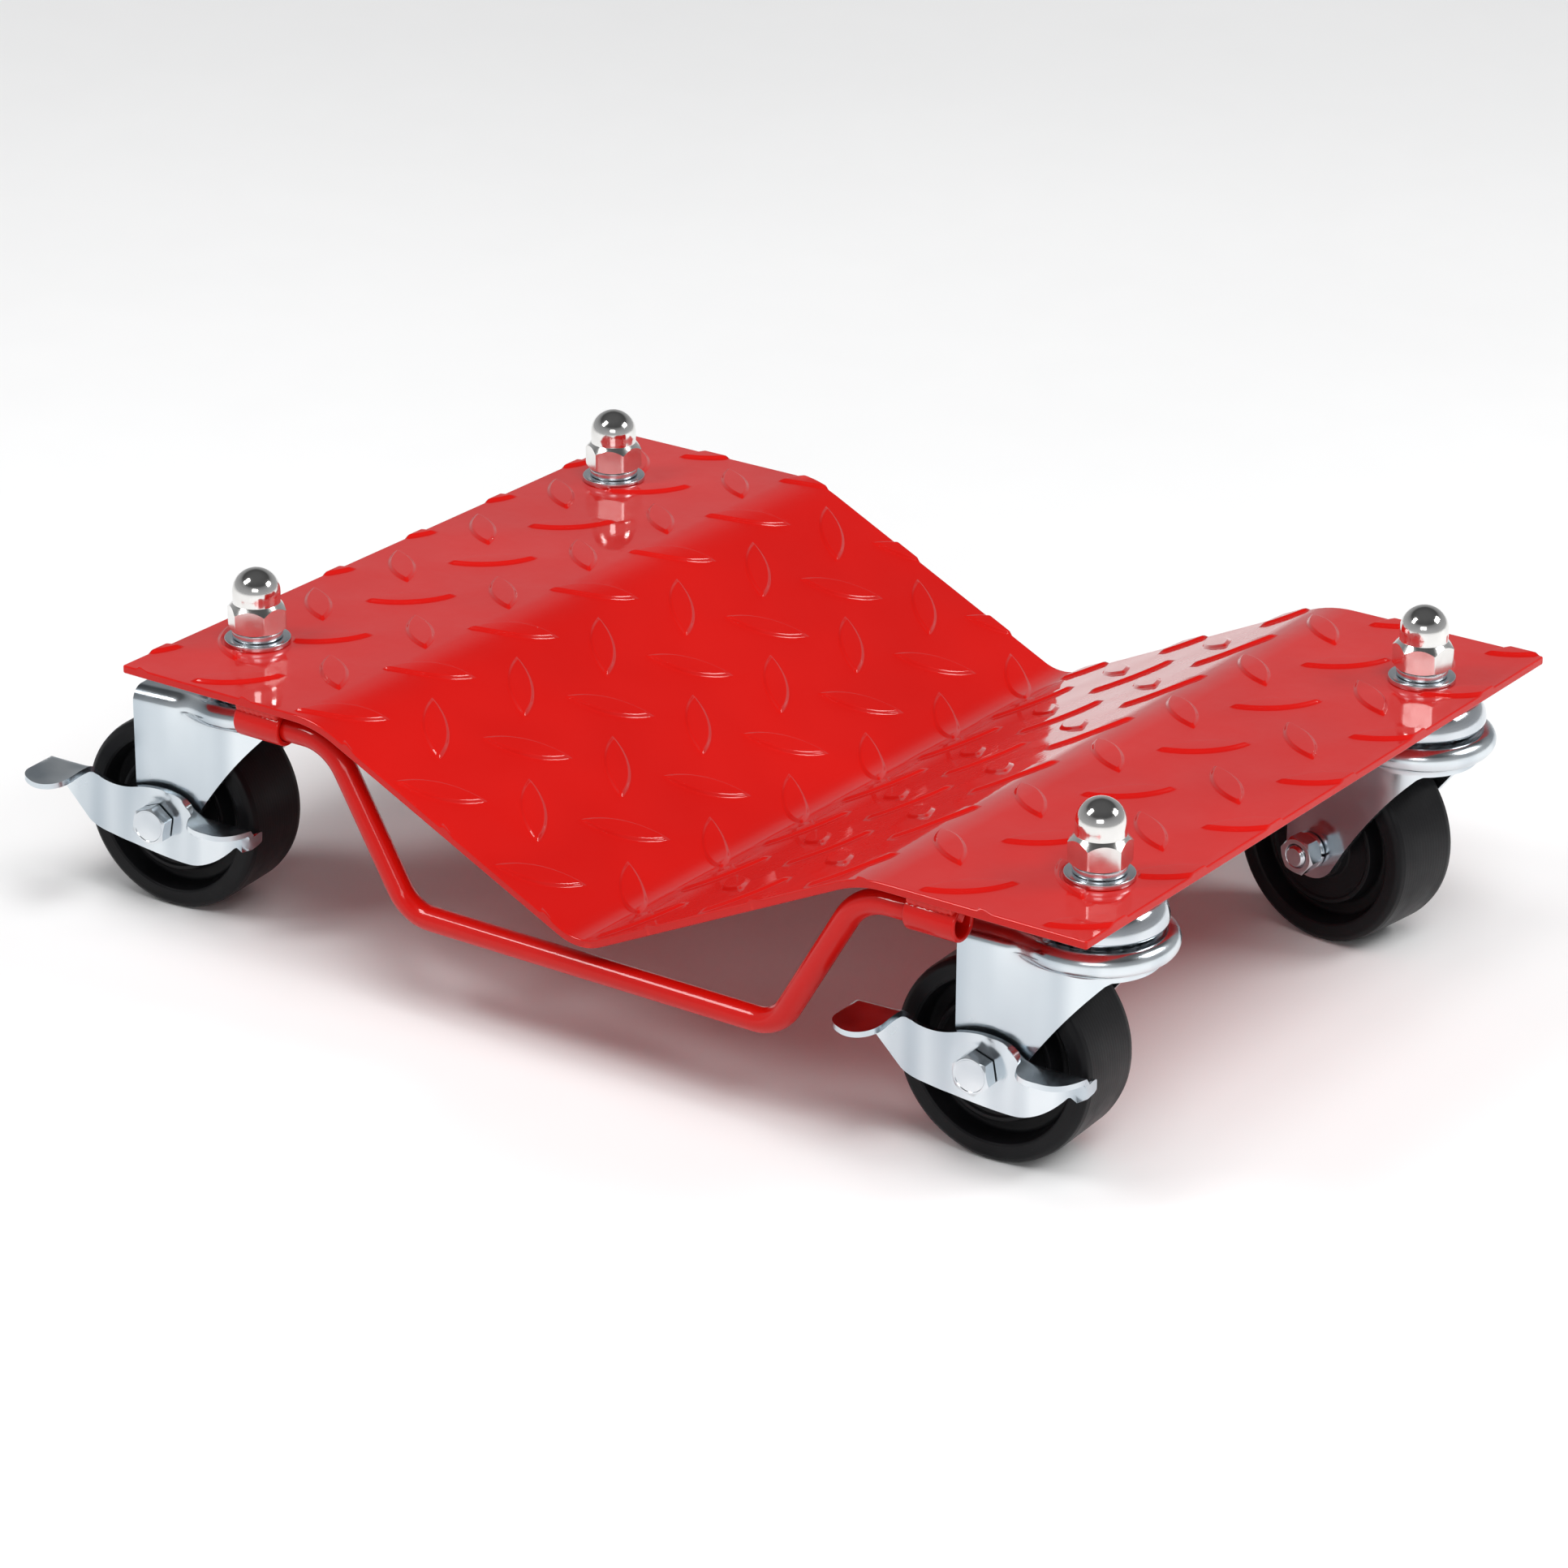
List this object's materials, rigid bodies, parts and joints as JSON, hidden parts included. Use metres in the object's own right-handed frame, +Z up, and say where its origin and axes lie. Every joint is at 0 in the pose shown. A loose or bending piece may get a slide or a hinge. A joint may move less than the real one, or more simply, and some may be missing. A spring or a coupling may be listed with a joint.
{
  "type": "wheel dolly",
  "caption": "Low steel dolly whose bent tread-plate deck cradles a vehicle tyre, with swivel casters under its corners, side brake levers and swinging bail handles",
  "frame": {"origin": "centre of the footprint's bounding box, on the floor under the wheels", "axes": "+X across the cradle towards the right-hand flat, along the longest side; +Y along the bends towards the unbraked casters; +Z up, the shortest side"},
  "size_m": [0.459, 0.3135, 0.1332],
  "materials": {
    "red_paint": "thick glossy red powder coat",
    "bright_nut": "bright nickel plate, close to a mirror",
    "zinc_plated": "bluish bright zinc plate, a little satin",
    "polished_steel": "pressed steel, bright zinc plate with soft drawing marks",
    "dark_steel": "greased bearing steel",
    "black_plastic": "satin black moulded plastic with faint turning lines"
  },
  "bodies": {
    "frame": {"deck": "red_paint", "bail_sockets": "red_paint", "cap_nuts": "bright_nut", "spring_washers": "zinc_plated", "flat_washers": "zinc_plated", "stem_front_left": "zinc_plated", "upper_cup_front_left": "polished_steel", "lower_race_front_left": "dark_steel", "stem_front_right": "zinc_plated", "upper_cup_front_right": "polished_steel", "lower_race_front_right": "dark_steel", "stem_rear_left": "zinc_plated", "upper_cup_rear_left": "polished_steel", "lower_race_rear_left": "dark_steel", "stem_rear_right": "zinc_plated", "upper_cup_rear_right": "polished_steel", "lower_race_rear_right": "dark_steel"},
    "caster_front_left": {"fork_front_left": "polished_steel", "race_balls_front_left": "dark_steel", "axle_bush_front_left": "dark_steel", "axle_bolt_front_left": "zinc_plated", "axle_nut_front_left": "zinc_plated", "lock_washer_front_left": "zinc_plated", "lever_shim_front_left": "zinc_plated"},
    "caster_front_right": {"fork_front_right": "polished_steel", "race_balls_front_right": "dark_steel", "axle_bush_front_right": "dark_steel", "axle_bolt_front_right": "zinc_plated", "axle_nut_front_right": "zinc_plated", "lock_washer_front_right": "zinc_plated", "lever_shim_front_right": "zinc_plated"},
    "caster_rear_left": {"fork_rear_left": "polished_steel", "race_balls_rear_left": "dark_steel", "axle_bush_rear_left": "dark_steel", "axle_bolt_rear_left": "zinc_plated", "axle_nut_rear_left": "zinc_plated", "lock_washer_rear_left": "zinc_plated"},
    "caster_rear_right": {"fork_rear_right": "polished_steel", "race_balls_rear_right": "dark_steel", "axle_bush_rear_right": "dark_steel", "axle_bolt_rear_right": "zinc_plated", "axle_nut_rear_right": "zinc_plated", "lock_washer_rear_right": "zinc_plated"},
    "wheel_front_left": {"wheel_front_left": "black_plastic"},
    "wheel_front_right": {"wheel_front_right": "black_plastic"},
    "wheel_rear_left": {"wheel_rear_left": "black_plastic"},
    "wheel_rear_right": {"wheel_rear_right": "black_plastic"},
    "brake_lever_front_left": {"brake_lever_front_left": "polished_steel"},
    "brake_lever_front_right": {"brake_lever_front_right": "polished_steel"},
    "bail_front": {"bail_front": "red_paint"},
    "bail_rear": {"bail_rear": "red_paint"}
  },
  "joints": [
    {"name": "swivel_front_left", "type": "hinge", "parent": "frame", "child": "caster_front_left", "pos_m": [-0.1552, -0.1023, 0.086], "axis": [0, 0, 1], "continuous": true},
    {"name": "swivel_front_right", "type": "hinge", "parent": "frame", "child": "caster_front_right", "pos_m": [0.2024, -0.1023, 0.086], "axis": [0, 0, 1], "continuous": true},
    {"name": "swivel_rear_left", "type": "hinge", "parent": "frame", "child": "caster_rear_left", "pos_m": [-0.1552, 0.1109, 0.086], "axis": [0, 0, 1], "continuous": true},
    {"name": "swivel_rear_right", "type": "hinge", "parent": "frame", "child": "caster_rear_right", "pos_m": [0.2024, 0.1109, 0.086], "axis": [0, 0, 1], "continuous": true},
    {"name": "wheel_spin_front_left", "type": "hinge", "parent": "caster_front_left", "child": "wheel_front_left", "pos_m": [-0.18543, -0.10548, 0.037], "axis": [-0.1045, 0.9945, 0], "continuous": true},
    {"name": "wheel_spin_front_right", "type": "hinge", "parent": "caster_front_right", "child": "wheel_front_right", "pos_m": [0.17204, -0.10389, 0.037], "axis": [-0.0523, 0.9986, 0], "continuous": true},
    {"name": "wheel_spin_rear_left", "type": "hinge", "parent": "caster_rear_left", "child": "wheel_rear_left", "pos_m": [-0.1856, 0.1109, 0.037], "axis": [0, 1, 0], "continuous": true},
    {"name": "wheel_spin_rear_right", "type": "hinge", "parent": "caster_rear_right", "child": "wheel_rear_right", "pos_m": [0.17226, 0.11487, 0.037], "axis": [0.1305, 0.9914, 0], "continuous": true},
    {"name": "brake_front_left", "type": "hinge", "parent": "caster_front_left", "child": "brake_lever_front_left", "pos_m": [-0.18543, -0.10548, 0.037], "axis": [0.1045, -0.9945, 0], "range_deg": [0, 22]},
    {"name": "brake_front_right", "type": "hinge", "parent": "caster_front_right", "child": "brake_lever_front_right", "pos_m": [0.17204, -0.10389, 0.037], "axis": [0.0523, -0.9986, 0], "range_deg": [0, 22]},
    {"name": "bail_front_swing", "type": "hinge", "parent": "frame", "child": "bail_front", "pos_m": [0.0236, -0.1417, 0.0955], "axis": [-1, 0, 0], "range_deg": [-24, 70]},
    {"name": "bail_rear_swing", "type": "hinge", "parent": "frame", "child": "bail_rear", "pos_m": [0.0236, 0.1503, 0.0955], "axis": [1, 0, 0], "range_deg": [-24, 70]}
  ]
}
